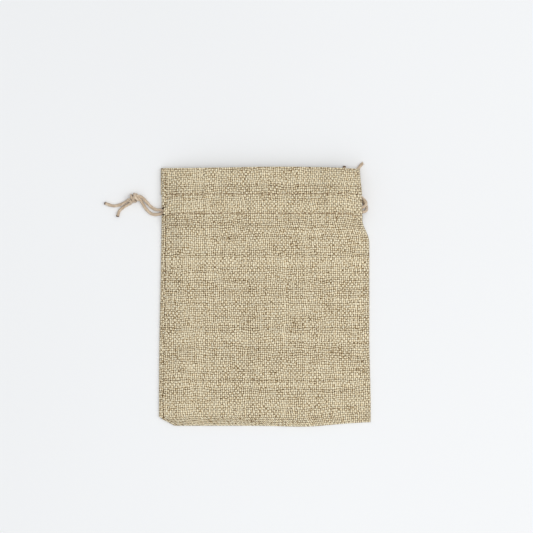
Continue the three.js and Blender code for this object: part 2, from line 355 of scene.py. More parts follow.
def linen(name):
    """Plain weave of uneven slubby yarns, with the dark holes between them. The yarns' height darkens the
    colour as painted shade towards their edges and ends and in the holes, and the seam attribute adds painted
    shade in creases.
    """
    g = Graph(name)
    x, y = g.rest()
    column = g.mul(bent(g, x, y, 0.0), 1 / YARN_ACROSS)
    row = g.mul(bent(g, y, x, 40.0), 1 / YARN_UP)
    i = g.math("FLOOR", column)
    j = g.math("FLOOR", row)
    in_column = g.sub(g.sub(column, i), 0.5)
    in_row = g.sub(g.sub(row, j), 0.5)
    weft_over = g.math("FLOORED_MODULO", g.add(i, j), 2.0)

    warp_draw = g.random(g.vector(i, 0.0, 17.0))
    weft_draw = g.random(g.vector(0.0, j, 23.0))
    warp, weft = yarn_tones(g, x, y, i, j, warp_draw, weft_draw)
    warp_fibre = g.noise(g.vector(g.mul(x, 3.2), g.mul(y, 1.3), 70.0))
    weft_fibre = g.noise(g.vector(g.mul(x, 1.3), g.mul(y, 2.6), 80.0))
    fibre = g.between(weft_over, warp_fibre, weft_fibre)
    tone = g.between(weft_over, warp, weft)
    tone = g.add(tone, g.mul(g.sub(g.random(g.vector(i, j, 1.0)), 0.5), 0.3))
    tone = g.add(tone, g.mul(g.sub(fibre, 0.5), 2.8))

    side = g.between(weft_over, in_column, in_row)
    along = g.between(weft_over, in_row, in_column)
    draw = g.between(weft_over, warp_draw, weft_draw)
    wide = g.madd(draw, 0.12, g.madd(weft_over, 0.1, 0.31))
    height = yarn_height(g, side, along, wide)

    # In places the weft lies higher than the warp, elsewhere lower, and the higher yarn is painted lighter.
    # The tone is multiplied by the yarn's height: painted shade towards each yarn's edges and ends and in the
    # holes between yarns
    balance = g.madd(g.noise(g.vector(x, y, 31.0), 0.1, 1.0), 2.2, -0.72)
    light = g.mul(g.mul(height, tone), g.madd(balance, g.sub(weft_over, 0.5), 1.16))
    light = g.madd(light, 1.25, -0.04)
    # Painted shade along the seams and in the stitching creases, from the seam attribute
    light = g.sub(light, g.mul(g.mul(g.attribute("seam"), g.noise(g.vector(y, 5.0, x), 0.35)), 0.62))
    hair = g.noise(g.vector(g.mul(x, 3.0), g.mul(y, 3.0), 2.0), 1.0, 2.0)
    normal = g.bump(g.add(height, g.mul(hair, 0.25)), 0.00035, 0.8)
    return g.finish(linen_colour(g, x, y, light), 0.92, normal,
                    Sheen_Weight=0.15, Sheen_Roughness=0.5, Specular_IOR_Level=0.15)


def thread(name, dark, light):
    """Twisted sewing thread: fine slanting plies, with painted shade in the grooves between them."""
    g = Graph(name)
    x, y = g.rest()
    ply = g.math("SINE", g.add(g.mul(x, 9.0), g.mul(y, 6.28)))
    # The plies' relief is painted into the tone as shade in the grooves; the noise is uneven tone
    tone = g.add(g.madd(ply, 0.25, 0.3), g.mul(g.noise(g.vector(x, y, 4.0), 1.6, 2.0), 0.6))
    colour = g.ramp(tone, [(0.15, dark), (0.85, light)])
    return g.finish(colour, 0.6, g.bump(ply, 0.00006), Sheen_Weight=0.2)


def satin(name):
    """Satin cord: a close slanting wrap of shiny filament, with dark melted tips. The wrap is also painted
    into the colour as highlight and shade, and the tips' dark colour also paints the shade in a knot's
    middle.
    """
    g = Graph(name)
    x, y = g.rest()
    wrap = g.math("SINE", g.add(g.mul(x, 11.0), g.mul(y, 2 * math.pi * 3)))
    cross = g.math("SINE", g.sub(g.mul(x, 11.0), g.mul(y, 2 * math.pi * 3)))
    braid = g.mul(wrap, cross)
    patch = g.noise(g.vector(g.mul(x, 0.35), g.mul(y, 3.0), 7.0), 1.0, 3.0)
    # Uneven patches of tone, whose ramp runs from a shaded side's colour to a highlight's, so they are partly
    # painted shade and highlight; the braid adds painted highlight and shade along the wrap
    tone = g.add(g.madd(braid, 0.09, 0.1), patch)
    colour = g.ramp(tone, [
        (0.2, linear(142, 116, 89)),
        (0.5, linear(197, 173, 146)),
        (0.8, linear(232, 213, 188)),
    ])
    # The melted tips are dark in their own colour; the same dark colour paints the shade in a knot's middle
    tip_and_knot_shade = g.attribute("tip_and_knot_shade")
    burnt = g.mix(g.noise(g.vector(x, y, 1.0), 2.0), linear(58, 36, 24), linear(118, 84, 62))
    colour = g.mix(tip_and_knot_shade, colour, burnt)
    normal = g.bump(braid, 0.00007, 0.8)
    return g.finish(colour, 0.42, normal, Sheen_Weight=0.25, Specular_IOR_Level=0.55)


def paper(name):
    """Pale, slightly uneven table."""
    g = Graph(name)
    node = g.nodes.new("ShaderNodeTexCoord")
    cloud = g.noise(node.outputs["Object"], 2.2, 2.0)
    colour = g.ramp(cloud, [(0.3, linear(243, 244, 245)), (0.7, linear(247, 248, 249))])
    grain = g.noise(node.outputs["Object"], 900.0, 2.0)
    return g.finish(colour, 0.75, g.bump(grain, 0.00003, 0.3), Specular_IOR_Level=0.2)


LINEN = linen("linen")
THREAD = thread("thread", linear(104, 80, 56), linear(176, 148, 112))
OVERLOCK = thread("overlock_thread", linear(168, 150, 118), linear(226, 212, 182))
SATIN = satin("satin_cord")


# ---------------------------------------------------------------- mesh making


def make_object(name, points, faces, uv, attributes, material, corner_normals=None):
    """points in millimetres; uv is one per point, in millimetres on the flat piece."""
    mesh = bpy.data.meshes.new(name)
    mesh.from_pydata((np.asarray(points) * MM).tolist(), [], faces)
    mesh.update()
    index = np.zeros(len(mesh.loops), int)
    mesh.loops.foreach_get("vertex_index", index)
    layer = mesh.uv_layers.new(name="rest")
    layer.data.foreach_set("uv", (np.asarray(uv)[index] / UV_UNIT).astype(np.float32).ravel())
    for key, values in attributes.items():
        mesh.attributes.new(key, "FLOAT", "POINT").data.foreach_set("value", np.asarray(values, np.float32))
    mesh.polygons.foreach_set("use_smooth", [True] * len(mesh.polygons))
    if corner_normals is not None:
        mesh.normals_split_custom_set(corner_normals.tolist())
    mesh.materials.append(material)
    made = bpy.data.objects.new(name, mesh)
    bpy.context.collection.objects.link(made)
    return made


def catmull(points, steps):
    """A smooth line through the points, evenly parametrised."""
    p = np.asarray(points, float)
    p = np.concatenate([[2 * p[0] - p[1]], p, [2 * p[-1] - p[-2]]])
    t = np.linspace(0, 1, steps, endpoint=False)[:, None]
    line = []
    for a, b, c, d in zip(p, p[1:], p[2:], p[3:]):
        line.append(0.5 * (2 * b + (c - a) * t + (2 * a - 5 * b + 4 * c - d) * t**2
                           + (3 * b - a - 3 * c + d) * t**3))
    return np.concatenate([*line, p[-2:-1]])


def length_along(line):
    return np.concatenate([[0], np.cumsum(np.linalg.norm(np.diff(line, axis=0), axis=1))])


def tube(line, radius, sides):
    """Rings round a line, carried along it without twist. radius is one for each point of the line."""
    tangent = np.gradient(line, axis=0)
    tangent /= np.linalg.norm(tangent, axis=1)[:, None]
    across = np.cross(tangent[0], (0, 0, 1.0))
    if np.linalg.norm(across) < 0.1:
        across = np.cross(tangent[0], (0, 1.0, 0))
    rings = []
    turn = np.linspace(0, 2 * math.pi, sides, endpoint=False)[:, None]
    for point, forward, r in zip(line, tangent, radius):
        across = across - forward * (across @ forward)
        across /= np.linalg.norm(across)
        other = np.cross(forward, across)
        rings.append(point + r * (np.cos(turn) * across + np.sin(turn) * other))
    points = np.concatenate(rings)
    n = len(line)
    faces = []
    for low in range(0, (n - 1) * sides, sides):
        high = low + sides
        faces += [(low + m, low + (m + 1) % sides, high + (m + 1) % sides, high + m) for m in range(sides)]
    faces += [tuple(range(sides))[::-1], tuple((n - 1) * sides + m for m in range(sides))]
    along = np.repeat(length_along(line), sides)
    round_it = np.tile(np.arange(sides) / sides, n)
    return points, faces, np.stack([along, round_it], 1)


def join(parts):
    """Several (points, faces, uv) as one."""
    points, faces, uv, start = [], [], [], 0
    for p, f, u in parts:
        points.append(p)
        uv.append(u)
        faces += [tuple(v + start for v in face) for face in f]
        start += len(p)
    return np.concatenate(points), faces, np.concatenate(uv)


# ---------------------------------------------------------------- cords


CORD_SIDES = 14
KNOT_CORD = 0.6
KNOT_SIDES = 12
KNOT_LONG, KNOT_OUT, KNOT_TAPER, KNOT_SLANT, KNOT_FLAT = 3.3, 1.88, 0.9, 0.45, 0.92
BAR_LONG, BAR_SIDE, BAR_HIGH = 3.0, 1.3, 1.95
KNOT_CORE = 1.75
BURNT_TIP = 0.7

LEFT_FRONT_STRAND = [
    (-60.9, 48.8, 2.1), (-59.6, 47.9, 1.4), (-57.6, 45.7, 0.8), (-55.4, 43.5, 0.8), (-53.2, 42.4, 1.1)]
LEFT_BACK_STRAND = [
    (-53.6, 40, 1), (-55.8, 40.5, 0.8), (-58.1, 42.6, 0.8), (-59.7, 45, 1), (-60.8, 46.8, 1.6)]
LEFT_LONG_TAIL = [
    (-66.9, 47, 1.6), (-68.6, 46, 0.9), (-71.1, 44.8, 0.8), (-74.4, 44.3, 0.8), (-78.7, 45.7, 0.8)]
LEFT_SHORT_TAIL = [
    (-65.9, 45.6, 1.3), (-67.6, 44.6, 0.8), (-69.6, 43.4, 0.8), (-71.4, 41.6, 0.8), (-72.3, 38.9, 0.8)]
RIGHT_FRONT_STRAND = [
    (45, 50.1, 3), (46.6, 48.9, 3.2), (48.1, 47.4, 3.6), (49.2, 45.9, 4.4), (48.9, 44.5, 5.2)]
RIGHT_BACK_STRAND = [
    (48.9, 41.5, 4.1), (49.5, 42.3, 3), (49.6, 43.7, 2), (49, 45.1, 1.2), (47.7, 47, 0.9), (45.4, 49.1, 1.3)]
RIGHT_LONG_TAIL = [
    (42.6, 55.5, 2), (43.2, 57.4, 1.2), (44.3, 60.2, 0.8), (45.9, 62.9, 0.8), (47.6, 65, 0.8)]
RIGHT_SHORT_TAIL = [(40.4, 55.2, 1.6), (39.4, 57, 0.9), (38.8, 60, 0.8), (38.8, 63.9, 0.8)]

# From inside the casing to the opening, and then through the knot. A lead ends where its cord comes out.
LEFT_FRONT_LEAD = [
    (-43.5, 42.3, 1.8), (-46.5, 42.2, 2.0), (-49.0, 42.0, 2.2), (-50.3, 42.1, 1.9), (-51.6, 42.3, 1.5)]
LEFT_BACK_LEAD = [
    (-43.5, 41.0, 1.25), (-46.5, 41.0, 1.3), (-49.0, 40.9, 1.35), (-50.5, 40.6, 1.3), (-51.9, 40.2, 1.2)]
LEFT_FRONT_KNOT = [(-62.4, 49, 2.6), (-64.0, 48.5, 2.5), (-65.5, 47.7, 2.1)]
LEFT_BACK_KNOT = [(-62.2, 47.9, 2.2), (-63.6, 47.7, 2.3), (-65.0, 46.6, 1.8)]
RIGHT_FRONT_LEAD = [(40, 44.7, 5.5), (43, 44.5, 5.6), (45.6, 43.9, 5.7), (47.4, 43.4, 5.6)]
RIGHT_BACK_LEAD = [(40, 42.2, 5.2), (43, 42.1, 5.3), (45.6, 41.5, 5.3), (47.5, 41.2, 4.9)]
RIGHT_FRONT_KNOT = [(43.2, 51.2, 2.9), (42, 52.4, 2.8), (42.2, 53.9, 2.5)]
RIGHT_BACK_KNOT = [(43.4, 50.8, 2.0), (41.8, 52.3, 2.2), (40.9, 53.8, 2.1)]


def loose_filaments(line):
    """Three fine filaments that stand out of a cut end."""
    end = line[-1]
    forward = (line[-1] - line[-4]) / np.linalg.norm(line[-1] - line[-4])
    across = np.cross(forward, (0, 0, 1.0))
    parts = []
    for turn, reach, radius in ((0.9, 1.3, 0.16), (-0.5, 1.2, 0.26), (0.15, 0.9, 0.3)):
        way = forward * math.cos(turn) + across * math.sin(turn)
        share = np.linspace(0, 1, 6)[:, None]
        strand = end - forward * 0.3 + share * way * reach + share**2 * (0, 0, 0.15)
        parts.append(tube(strand, radius * np.array((1, 1, 1, 0.95, 0.8, 0.4)), 6))
    return parts


def add_cord(name, points, body, burnt, frayed=False):
    """A length of cord on a smooth line through the points. burnt is how long its melted end is."""
    line = catmull(points, 10)
    along = length_along(line)
    left = along[-1] - along
    radius = np.full(len(line), CORD / 2)
    radius += 0.07 * np.sin(along * 1.9) * np.sin(along * 0.7 + 1)
    radius[left < burnt] *= 1.08
    radius[-1] *= 0.6
    parts = [tube(line, radius, CORD_SIDES)]
    melted = np.clip((burnt - left) / 0.3, 0, 1) if burnt else np.zeros(len(line))
    if frayed:
        parts += loose_filaments(line)
    verts, faces, uv = join(parts)
    tip_and_knot_shade = np.zeros(len(verts))
    tip_and_knot_shade[:len(line) * CORD_SIDES] = np.repeat(melted, CORD_SIDES)
    cord = make_object(name, verts, faces, uv, {"tip_and_knot_shade": tip_and_knot_shade}, SATIN)
    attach(cord, body)
    return cord, line


def core(centre, size):
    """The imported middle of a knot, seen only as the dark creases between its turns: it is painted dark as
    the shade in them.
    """
    ring = np.linspace(0, math.pi, 9)
    line = np.array(centre) + np.outer(-np.cos(ring) * size, (1.0, 0, 0))
    return tube(line, np.maximum(np.sin(ring), 0.05) * size, CORD_SIDES)


def add_knot(half, centre, toward):
    """A tight overhand knot, tied with both ends together. toward is the way the ends leave it."""
    centre = np.array(centre)
    axis = np.array(toward, float)
    axis /= np.linalg.norm(axis)
    up = np.array((0, 0, 1.0))
    side = np.cross(up, axis)
    angle = np.linspace(-0.2, 2.2, 64) * 2 * math.pi
    spread = angle / (4 * math.pi) - 0.5
    out = KNOT_OUT - KNOT_TAPER * spread**2
    slant = KNOT_SLANT * np.sin(angle)
    coil = (centre + np.outer(spread * KNOT_LONG + slant, axis)
            + np.outer(np.cos(angle) * out, side) + np.outer(np.sin(angle) * out * KNOT_FLAT, up))
    sweep = np.linspace(-0.6, 0.6, 24) * math.pi
    bar = (centre + np.outer(sweep / math.pi * BAR_LONG, axis)
           + np.outer(np.sin(sweep * 0.9) * BAR_SIDE, side) + np.outer(np.cos(sweep) * BAR_HIGH, up))
    middle = core(centre, KNOT_CORE)
    turns = [tube(line, np.full(len(line), KNOT_CORD), KNOT_SIDES) for line in (coil, bar)]
    verts, faces, uv = join([*turns, middle])
    # The knot's middle takes the dark tip colour: painted shade in the creases between the turns
    dark = np.zeros(len(verts))
    dark[-len(middle[0]):] = 0.9
    knot = make_object(f"{half}_cord_knot_turns", verts, faces, uv, {"tip_and_knot_shade": dark}, SATIN)
    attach(knot, f"{half}_drawstring")
    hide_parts(f"{half}_cord_knot")
    return knot


TURN_FROM = 36.0


def held_run(cord_y, low, high_from, high):
    """A cord inside the casing, as (x, y, z), from its own opening on the right to its turn on the left. It
    keeps the height of its opening for as far as it may be pulled out, and so does not rise through the cloth
    that gathers over it."""
    xs = np.array([26.0, 18, 10, 2, -6, -14, -20, -26, -31, -TURN_FROM])
    rise = smooth(-xs, high_from, TURN_FROM)
    return [(float(x), cord_y, float(low + (high - low) * share)) for x, share in zip(xs, rise)]


DIP_DEPTH, DIP_WIDTH = 1.0, 5.0
DIP_ONE_PULLED, DIP_BOTH_PULLED = 26.0, -1.0


def waved(points):
    """The right cord dips where the edge of its opening comes to lie on it, with one cord pulled or both."""
    dips = [ridge(x, DIP_ONE_PULLED, DIP_WIDTH) + ridge(x, DIP_BOTH_PULLED, DIP_WIDTH) for x, _, _ in points]
    return [(x, y, z - DIP_DEPTH * float(dip)) for (x, y, z), dip in zip(points, dips)]


def turn_back(cord_y, side):
    """Where a cord turns from the front casing to the back one, inside the opening opposite its own. side is
    the way inward: 1 at the left opening and -1 at the right one."""
    end = float(right_edge(cord_y)) if side < 0 else float(left_edge(cord_y))
    return [(end + side * inward, cord_y, z + float(lift(end + side * inward, cord_y)))
            for inward, z in ((7.8, 5.1), (6.1, 4.2), (4.9, 3.1), (4.8, 2.2), (6, 1.5))]


def mirrored(points):
    return [(-x, y, z) for x, y, z in points]


def left_held():
    front = mirrored(held_run(LEFT_CORD_Y + 0.2, 1.6, 10, 7.8))
    back = mirrored(held_run(LEFT_CORD_Y - 1.4, 1.3, 10, 1.45 + float(lift(TURN_FROM, LEFT_CORD_Y))))
    lead = [(-43.5, 42.3, 1.8), (-39, 42.5, 1.7), (-33, 42.6, 1.6)]
    rear = [(-33, 41.0, 1.3), (-39, 41.0, 1.25), (-43.5, 41.0, 1.25)]
    return lead + front + turn_back(LEFT_CORD_Y, -1) + back[::-1] + rear


def right_held():
    front = waved(held_run(RIGHT_CORD_Y, 5.9, 14, 5.6))
    back = waved(held_run(RIGHT_CORD_Y - 2.2, 5.8, 14, 1.5))
    lead = [(40, 44.7, 5.7), (35, 44.8, 5.6), (30, 44.8, 5.2)]
    rear = [(30, 42.6, 5.1), (35, 42.5, 5.6), (40, 42.2, 5.7)]
    return lead + front + turn_back(RIGHT_CORD_Y, 1) + back[::-1] + rear


FREE_ENDS = [
    ("left", "front", "long", LEFT_FRONT_LEAD,
     LEFT_FRONT_STRAND[::-1] + LEFT_FRONT_KNOT + LEFT_LONG_TAIL),
    ("left", "back", "short", LEFT_BACK_LEAD,
     LEFT_BACK_STRAND + LEFT_BACK_KNOT + LEFT_SHORT_TAIL),
    ("right", "front", "long", RIGHT_FRONT_LEAD,
     RIGHT_FRONT_STRAND[::-1] + RIGHT_FRONT_KNOT + RIGHT_LONG_TAIL),
    ("right", "back", "short", RIGHT_BACK_LEAD,
     RIGHT_BACK_STRAND + RIGHT_BACK_KNOT + RIGHT_SHORT_TAIL),
]


def add_drawstrings():
    knots = {
        "left": add_knot("left", LEFT_KNOT, (-0.93, -0.36, 0)),
        "right": add_knot("right", RIGHT_KNOT, (-0.28, 0.96, 0)),
    }
    for half, run in (("left", left_held()), ("right", right_held())):
        held, _ = add_cord(f"{half}_cord_in_casing", run, f"{half}_drawstring", 0)
        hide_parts(f"{half}_cord")
    for half, end, tail, lead, beyond in FREE_ENDS:
        cut = (half, end) == ("right", "front")
        burnt = 0 if cut else BURNT_TIP
        cord, line = add_cord(f"{half}_cord_{end}_end", lead + beyond, f"{half}_drawstring", burnt, cut)
        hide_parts(f"{half}_cord_{tail}_tail")


add_drawstrings()


# ---------------------------------------------------------------- cloth


def value_noise(x, y, size, seed):
    """Smooth noise from -1 to 1 over x and y, which are in millimetres."""
    table = np.random.default_rng(seed).uniform(-1, 1, (64, 64))
    u, v = np.asarray(x) / size + 16, np.asarray(y) / size + 16
    i, j = np.floor(u).astype(int), np.floor(v).astype(int)
    a, b = u - i, v - j
    a, b = a * a * (3 - 2 * a), b * b * (3 - 2 * b)
    i, j = i % 63, j % 63
    low = table[i, j] * (1 - a) + table[i + 1, j] * a
    high = table[i, j + 1] * (1 - a) + table[i + 1, j + 1] * a
    return low * (1 - b) + high * b


def puckers(x, y, at, count, depth, reach, way):
    """Folds that fan out from a side opening into the cloth."""
    dx, dy = (x - at[0]) * way, y - at[1]
    away = np.hypot(dx, dy)
    angle = np.arctan2(dy, np.maximum(dx, 0.01))
    fade = np.exp(-away / reach) * smooth(away, 0.5, 3.0)
    return depth * fade * np.cos(angle * count + 0.8 * np.sin(away * 0.5))


FLUTE_DEPTH = 0.10
STITCH_DEPTH = 0.32
CORD_RIDGE = 0.14
LEFT_PUCKER, RIGHT_PUCKER = 0.55, 0.5


def front_relief(x, y):
    """What stands out of the front panel's even face: flutes below the casing, slow unevenness, sunk and
    puckered stitching lines, the cords inside and the folds at the openings."""
    neck = smooth(y, 4, 38) * (1 - 0.45 * smooth(y, 50, 63))
    flutes = FLUTE_DEPTH * np.sin(x * 0.86 + 1.3 * value_noise(x, y, 26, 3)) * neck
    slow = 0.2 * value_noise(x, y, 24, 1) + 0.08 * value_noise(x, y, 10, 2)
    slow *= smooth(from_side(x, y), 0, 12) * smooth(y, -63, -52)
    stitched = -STITCH_DEPTH * (ridge(y, CASING_LOW, 0.8) + ridge(y, CASING_HIGH, 0.8))
    pulled = 0.05 * np.sin(x * 2.1) * (ridge(y, CASING_LOW, 2.2) + ridge(y, CASING_HIGH, 2.2))
    cords = CORD_RIDGE * (ridge(y, LEFT_CORD_Y, 1.0) + ridge(y, RIGHT_CORD_Y + 0.4, 1.0))
    left = puckers(x, y, (-49.5, 42.0), 7, LEFT_PUCKER, 8.0, 1)
    right = puckers(x, y, (47.5, 42.5), 7, RIGHT_PUCKER, 7.0, -1)
    edge = smooth(from_side(x, y), 0.5, 3.0)
    return flutes + slow + stitched + pulled + cords + (left + right) * edge


def back_relief(x, y):
    slow = 0.16 * (1 + value_noise(x, y, 18, 7)) * smooth(from_side(x, y), 1, 14)
    stitched = 0.3 * (ridge(y, CASING_LOW, 0.8) + ridge(y, CASING_HIGH, 0.8))
    return slow + stitched


OPENS_FROM, OPEN_FROM, OPEN_TO, OPENS_TO = 40.5, 41.7, 43.6, 45.2


def open_share(y):
    """How far the side opening is open at a height: 0 where the seam is sewn."""
    return smooth(y, OPENS_FROM, OPEN_FROM) * (1 - smooth(y, OPEN_TO, OPENS_TO))


def rounding(q, size, arc):
    """Distance in from a turned edge, and share of the height, at q along the cloth from the edge."""
    turn = np.minimum(q / arc, 1) * math.pi / 2
    return size * (1 - np.cos(turn)) + np.maximum(q - arc, 0), np.sin(turn)


def span_at(y):
    """Length of the cloth across one face, from the outermost line of one edge to that of the other."""
    return right_edge(y) - left_edge(y) - 2 * EDGE_ROUND + 2 * EDGE_ARC


def place(side, t, y, bottom_share, depth):
    """Where the cloth is. side is 1 for the front panel and -1 for the back one. t runs across it from the
    left edge, and goes on round the other side past either edge. depth is how far in from the outside."""
    span = span_at(y)
    at_left = t < span / 2
    q = np.where(at_left, t, span - t)
    face = np.where(q < 0, -side, side)
    inward, share = rounding(np.abs(q), EDGE_ROUND, EDGE_ARC)
    x = np.where(at_left, left_edge(y) + inward, right_edge(y) - inward)
    top = front_level(x, y) + front_relief(x, y)
    low = lift(x, y) + back_relief(x, y)
    middle = lift(x, y) + edge_height(y) / 2
    outer = middle + np.where(face > 0, top - middle, low - middle) * share * bottom_share
    gap = np.abs(outer - middle)
    z = outer + (middle - outer) * np.minimum(depth / np.maximum(gap, 1e-6), 0.9)
    return np.stack([x, y + shift_up(x, y), z], -1), span


# At the side openings the two panels part: each draws back from the seam line by its own amount
SEAM_SPREAD = 1.25
LEFT_SEAM_GAP, RIGHT_SEAM_GAP = 0.04, 0.12
PAST_EDGE = 0.5


def left_seam(side, y):
    """Where a panel begins at the left: the back one comes round the edge and meets the front one on top."""
    opened = open_share(y)
    if side > 0:
        return SEAM_IN - SEAM_SPREAD * opened
    round_edge = SEAM_IN - LEFT_SEAM_GAP
    return -round_edge + (round_edge + PAST_EDGE) * opened


def right_seam(side, y):
    """How far past the right edge a panel goes: the front one goes round it and meets the back one below."""
    opened = open_share(y)
    if side > 0:
        round_edge = SEAM_IN - RIGHT_SEAM_GAP
        return round_edge - (round_edge + PAST_EDGE) * opened
    return -SEAM_IN + (SEAM_IN - PAST_EDGE) * opened


FINE_COLUMNS, COARSE_COLUMNS = 16, 44
FINE_WIDTH = 2.0


def columns(half, side, y, inset=None):
    """t of the columns of one half of a panel at height y, close together near the panel's own edge, and t of
    that edge. inset sets the edge in from the side, for cloth that isn't sewn into the seam."""
    span = span_at(y)
    centre = EDGE_ARC - EDGE_ROUND - left_edge(y)
    if half == "left":
        start = left_seam(side, y) if inset is None else inset
        ready = np.maximum(start, EDGE_ARC) + FINE_WIDTH
        near = start + (ready - start) * np.linspace(0, 1, FINE_COLUMNS, endpoint=False)
        far = ready + (centre - ready) * np.linspace(0, 1, COARSE_COLUMNS)
        return np.concatenate([near, far]), start
    end = span + right_seam(side, y) if inset is None else span - inset
    ready = np.minimum(end, span - EDGE_ARC) - FINE_WIDTH
    far = centre + (ready - centre) * np.linspace(0, 1, COARSE_COLUMNS)
    near = ready + (end - ready) * np.linspace(0, 1, FINE_COLUMNS + 1)[1:]
    return np.concatenate([far, near]), end


def sheet_rows(start, end, step):
    return np.linspace(start, end, max(2, int(round(abs(end - start) / step)) + 1))


SEAM_SINK = 0.22
LIP_RISE = 0.35
# How much painted shade falls in the creases of the stitching lines
CREASE_SHADE = 0.6


def grid(side, half, heights, shares, depths, lengths, inset=None):
    """A rectangle of cloth, a row for each height: its points, flat coordinates and the painted shade in its
    creases.
    """
    points, flats, crease_shade = [], [], []
    for row, (y, share, depth, length) in enumerate(zip(heights, shares, depths, lengths)):
        y = float(y)
        t, border = columns(half, side, y, None if inset is None else float(inset[row]))
        where, span = place(side, t, y, share, depth)
        dark = np.zeros(len(t))
        if inset is None:
            from_border = np.abs(t - border)
            opened = open_share(y)
            face = np.where((t < 0) | (t > span), -side, side)
            where[:, 2] -= face * SEAM_SINK * (1 - opened) * ridge(from_border, 0, 0.5) * share
            if side > 0:
                where[:, 2] += LIP_RISE * opened * ridge(from_border, 0, 1.6)
            # Painted shade in the crease along the seam and in the creases of the stitching lines
            stitched = ridge(y, CASING_LOW, 0.3) + ridge(y, CASING_HIGH, 0.3)
            dark = ridge(from_border, 0, 0.42) * (1 - 0.65 * opened) + CREASE_SHADE * stitched
        crease_shade.append(dark)
        flats.append(np.stack([(t / span - 0.5) * 2 * HALF_WIDTH, np.full(len(t), length)], 1))
        points.append(where)
    return np.array(points), np.array(flats), np.array(crease_shade)


def surface_normals(points):
    across = np.gradient(points, axis=1)
    along = np.gradient(points, axis=0)
    normal = np.cross(across, along)
    size = np.linalg.norm(normal, axis=2, keepdims=True)
    return normal / np.maximum(size, 1e-9)


OTHER_FACE = (310.0, 170.0)
BACK_PANEL = (700.0, 430.0)


def shell(points, normals, flats, crease_shade):
    """A closed piece of cloth: the grid, the same grid set back by the cloth's thickness, and the cut edges.
    The back face's flat coordinates are moved away, so that its weave is another stretch of cloth."""
    rows, cols = points.shape[:2]
    count = rows * cols
    verts = np.concatenate([points.reshape(-1, 3), (points - normals * CLOTH).reshape(-1, 3)])
    ids = np.arange(count).reshape(rows, cols)
    face = np.stack([ids[:-1, :-1], ids[:-1, 1:], ids[1:, 1:], ids[1:, :-1]], -1).reshape(-1, 4)
    loop = np.concatenate([ids[0, :-1], ids[:-1, -1], ids[-1, :0:-1], ids[:0:-1, 0]])
    after = np.roll(loop, -1)
    rim = np.stack([after, loop, loop + count, after + count], 1)
    quads = np.concatenate([face, face[:, ::-1] + count, rim])
    flat_normals = normals.reshape(-1, 3)
    a, b, c = verts[rim[:, 0]], verts[rim[:, 1]], verts[rim[:, 2]]
    rim_normal = np.cross(b - a, c - b)
    rim_normal /= np.maximum(np.linalg.norm(rim_normal, axis=1, keepdims=True), 1e-9)
    corner = np.concatenate([
        flat_normals[face.ravel()], -flat_normals[face[:, ::-1].ravel()], np.repeat(rim_normal, 4, axis=0)])
    uv = np.concatenate([flats.reshape(-1, 2), flats.reshape(-1, 2) + OTHER_FACE])
    dark = np.concatenate([crease_shade.ravel(), crease_shade.ravel()])
    return verts, quads, corner, uv, dark


def add_cloth(name, shells, side):
    verts, faces, corners, uv, dark, start = [], [], [], [], [], 0
    for v, q, c, u, d in shells:
        verts.append(v)
        faces.append(q + start)
        corners.append(c)
        uv.append(u)
        dark.append(d)
        start += len(v)
    uv = np.concatenate(uv) + ((0.0, 0.0) if side > 0 else BACK_PANEL)
    # The seam attribute carries the painted crease shade
    piece = make_object(name, np.concatenate(verts), np.concatenate(faces).tolist(), uv,
                        {"seam": np.concatenate(dark)}, LINEN, np.concatenate(corners))
    gather(piece)
    return piece


def gather(piece):
    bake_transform(piece)


# Rows of the cloth: where they change their spacing, the fold at the mouth and the facing folded inside
NECK_ROWS_FROM = 34.0
FOLD_ROWS_FROM = HALF_LENGTH - 1.4
INSIDE_LENGTH = 2 * HALF_LENGTH + 0.6
FACING_INSET = 2.4
NOTCH = 7.0
CHANNEL_SLOPE = 1.6


def outer_rows():
    """The outer cloth's rows, from the bottom up, over the fold at the mouth and down inside to the casing:
    their heights, shares of the full swell, depths and places along the flat cloth, and each band's rows."""
    up, turn_share = rounding(np.linspace(0, BOTTOM_ARC, 6), BOTTOM_ROUND, BOTTOM_ARC)
    rise = np.concatenate([
        -HALF_LENGTH + up,
        sheet_rows(-HALF_LENGTH + 2.0, NECK_ROWS_FROM, 1.25),
        sheet_rows(NECK_ROWS_FROM + 0.6, CASING_LOW, 0.6),
    ])
    casing = sheet_rows(CASING_LOW, CASING_HIGH, 0.52)
    header = sheet_rows(CASING_HIGH, FOLD_ROWS_FROM, 0.8)
    outside = np.concatenate([rise, casing[1:], header[1:]])
    inside = sheet_rows(FOLD_ROWS_FROM, CASING_HIGH, 0.9)
    turn = np.linspace(0, math.pi, 9)
    fold_from = HALF_LENGTH - FOLD
    y = np.concatenate([outside, fold_from + FOLD * np.sin(turn), inside])
    fold_depth = FOLD * (1 - np.cos(turn))
    depth = np.concatenate([np.zeros(len(outside)), fold_depth, np.full(len(inside), 2 * FOLD)])
    length = np.concatenate([outside, fold_from + FOLD * turn, INSIDE_LENGTH - inside])
    share = np.concatenate([turn_share, np.ones(len(y) - len(turn_share))])
    low = len(rise) - 1
    high = low + len(casing) - 1
    bands = {"body": slice(0, low + 1), "casing": slice(low, high + 1), "header": slice(high, None)}
    return y, share, depth, length, bands


def casing_facing(side, half):
    """The facing behind the casing, which leaves a channel for cords and stops short of the side openings."""
    y = sheet_rows(CASING_HIGH, CASING_LOW, 0.8)
    swell = smooth(y, CASING_LOW, CASING_LOW + CHANNEL_SLOPE)
    swell *= 1 - smooth(y, CASING_HIGH - CHANNEL_SLOPE, CASING_HIGH)
    inset = FACING_INSET + NOTCH * smooth(y, 40.0, 41.2) * (1 - smooth(y, 48.6, CASING_HIGH))
    return grid(side, half, y, np.ones(len(y)), 2 * FOLD + CHANNEL * swell, INSIDE_LENGTH - y, inset)


